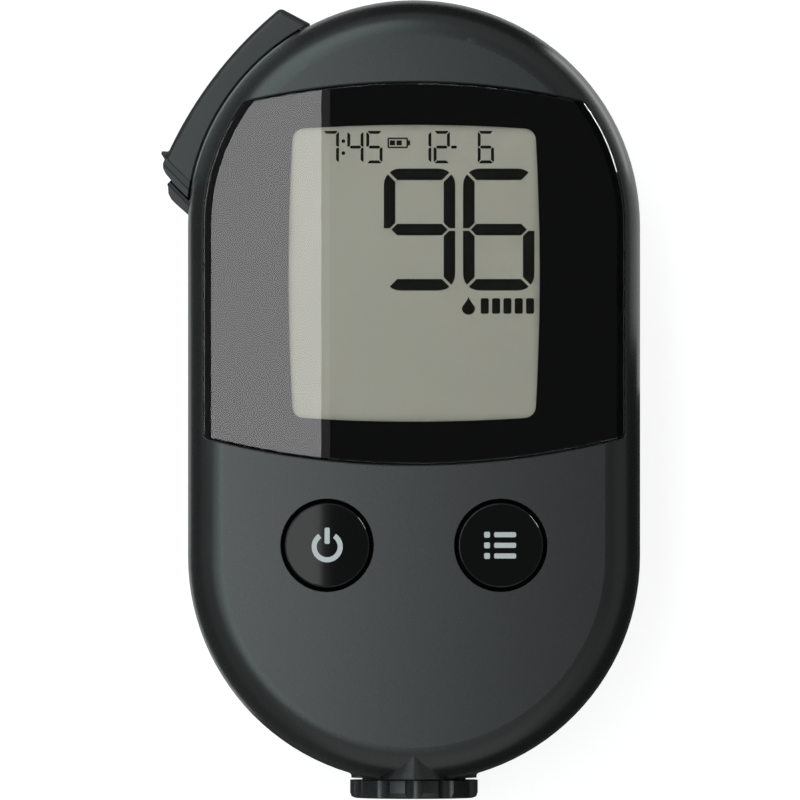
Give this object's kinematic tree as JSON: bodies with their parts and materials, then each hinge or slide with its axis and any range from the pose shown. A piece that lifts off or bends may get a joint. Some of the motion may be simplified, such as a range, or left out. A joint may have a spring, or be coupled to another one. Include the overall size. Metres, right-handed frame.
{
  "type": "blood glucose meter",
  "caption": "Pocket blood glucose meter: stadium-shaped two-part case, flat gloss window, round keys, turning tip shutter, tape cassette, and a built-in lancer with a fluted depth dial.",
  "frame": {"origin": "centre of the flat back, midway between the centres of the two round ends, with the meter lying on its back", "axes": "+Z out of the front face, +Y along the meter towards the test tip end, +X to the right as the display is read"},
  "size_m": [0.0679, 0.113, 0.028],
  "materials": {
    "case_plastic": "satin moulded shell, dark greenish grey",
    "gloss_black": "gloss black",
    "lens": "clear hard-coated window",
    "mask_print": "black print",
    "lcd": "grey liquid crystal cell",
    "frame_plastic": "moulded, plain",
    "white_plastic": "moulded, plain",
    "silicone": "grey silicone",
    "conductive_rubber": "striped contact rubber",
    "board": "solder resist on glass fibre",
    "chips": "moulded packages",
    "steel": "plated",
    "spring_steel": "drawn wire",
    "nickel": "nickel plated",
    "shutter_plastic": "satin moulded",
    "cassette_plastic": "moulded, plain",
    "tape": "thin coated film",
    "gear_plastic": "natural acetal",
    "cell_jacket": "printed jacket, plain",
    "lancet_plastic": "moulded, plain",
    "dial_plastic": "satin moulded"
  },
  "bodies": {
    "case": {"front_cover": "case_plastic", "rear_cover": "case_plastic", "display_lens": "lens", "lens_mask": "mask_print", "lcd_cell": "lcd", "lcd_frame": "white_plastic", "zebra_strips": "conductive_rubber", "main_board": "board", "board_components": "chips", "buzzer": "nickel", "keypad_membrane": "silicone", "mid_frame": "frame_plastic", "case_screws": "steel", "board_screws": "steel", "tip_finger_rest": "shutter_plastic", "cassette_base": "cassette_plastic", "cassette_lid": "cassette_plastic", "tape_guide": "white_plastic", "test_tape": "tape", "drive_motor": "steel", "optic_reader": "frame_plastic", "door_hinge_pins": "steel", "lower_cell": "cell_jacket", "upper_cell": "cell_jacket", "battery_contacts": "nickel", "battery_springs": "spring_steel", "lancer_barrel": "frame_plastic", "drive_spring": "spring_steel", "return_spring": "spring_steel"},
    "set_key": {"set_button": "gloss_black"},
    "memory_key": {"memory_button": "gloss_black"},
    "shutter": {"tip_shutter": "shutter_plastic", "shutter_thumb_grip": "shutter_plastic"},
    "dial": {"depth_dial": "dial_plastic"},
    "plunger": {"lancer_plunger": "gear_plastic", "lancet_body": "lancet_plastic", "lancet_needle": "steel", "cocking_slide": "dial_plastic"},
    "release": {"release_button": "dial_plastic"},
    "cassette_flap": {"cassette_door": "case_plastic"},
    "battery_flap": {"battery_door": "case_plastic"},
    "take_up": {"take_up_reel": "gear_plastic", "take_up_tape_roll": "tape", "drive_gear": "gear_plastic"},
    "supply": {"supply_reel": "gear_plastic", "supply_tape_roll": "tape"},
    "pinion": {"motor_pinion": "nickel"}
  },
  "joints": [
    {"name": "set_press", "type": "slide", "parent": "case", "child": "set_key", "axis": [0, 0, -1], "range_m": [0, 0.0008], "stiffness_N_per_m": 600},
    {"name": "memory_press", "type": "slide", "parent": "case", "child": "memory_key", "axis": [0, 0, -1], "range_m": [0, 0.0008], "stiffness_N_per_m": 600},
    {"name": "shutter_turn", "type": "hinge", "parent": "case", "child": "shutter", "pos_m": [0, 0.02335, 0.0148], "axis": [0, 0, 1], "range_deg": [-42, 0]},
    {"name": "dial_turn", "type": "hinge", "parent": "case", "child": "dial", "pos_m": [0, -0.0564, 0.014], "axis": [0, 1, 0], "range_deg": [-150, 150]},
    {"name": "lancer_cock", "type": "slide", "parent": "case", "child": "plunger", "axis": [0, 1, 0], "range_m": [-0.0035, 0.005], "stiffness_N_per_m": 400, "deforming": ["drive_spring", "return_spring"]},
    {"name": "release_press", "type": "slide", "parent": "case", "child": "release", "axis": [0, 0, 1], "range_m": [0, 0.0012], "stiffness_N_per_m": 500},
    {"name": "cassette_door_open", "type": "hinge", "parent": "case", "child": "cassette_flap", "pos_m": [0, 0.0129, 0.00135], "axis": [-1, 0, 0], "range_deg": [0, 90]},
    {"name": "battery_door_lift", "type": "slide", "parent": "case", "child": "battery_flap", "axis": [0, 0, -1], "range_m": [0, 0.015]},
    {"name": "take_up_spin", "type": "hinge", "parent": "case", "child": "take_up", "pos_m": [0.0116, 0.031, 0.0155], "axis": [0, 0, 1], "continuous": true},
    {"name": "supply_spin", "type": "hinge", "parent": "case", "child": "supply", "pos_m": [-0.0112, 0.0266, 0.007], "axis": [0, 0, 1], "continuous": true},
    {"name": "pinion_spin", "type": "hinge", "parent": "case", "child": "pinion", "pos_m": [0.0116, 0.0185, 0.0155], "axis": [0, 0, 1], "continuous": true}
  ],
  "couplings": [
    {"joint": "pinion_spin", "follows": "take_up_spin", "ratio": -2.5714},
    {"joint": "supply_spin", "follows": "take_up_spin", "ratio": 0.8919}
  ]
}
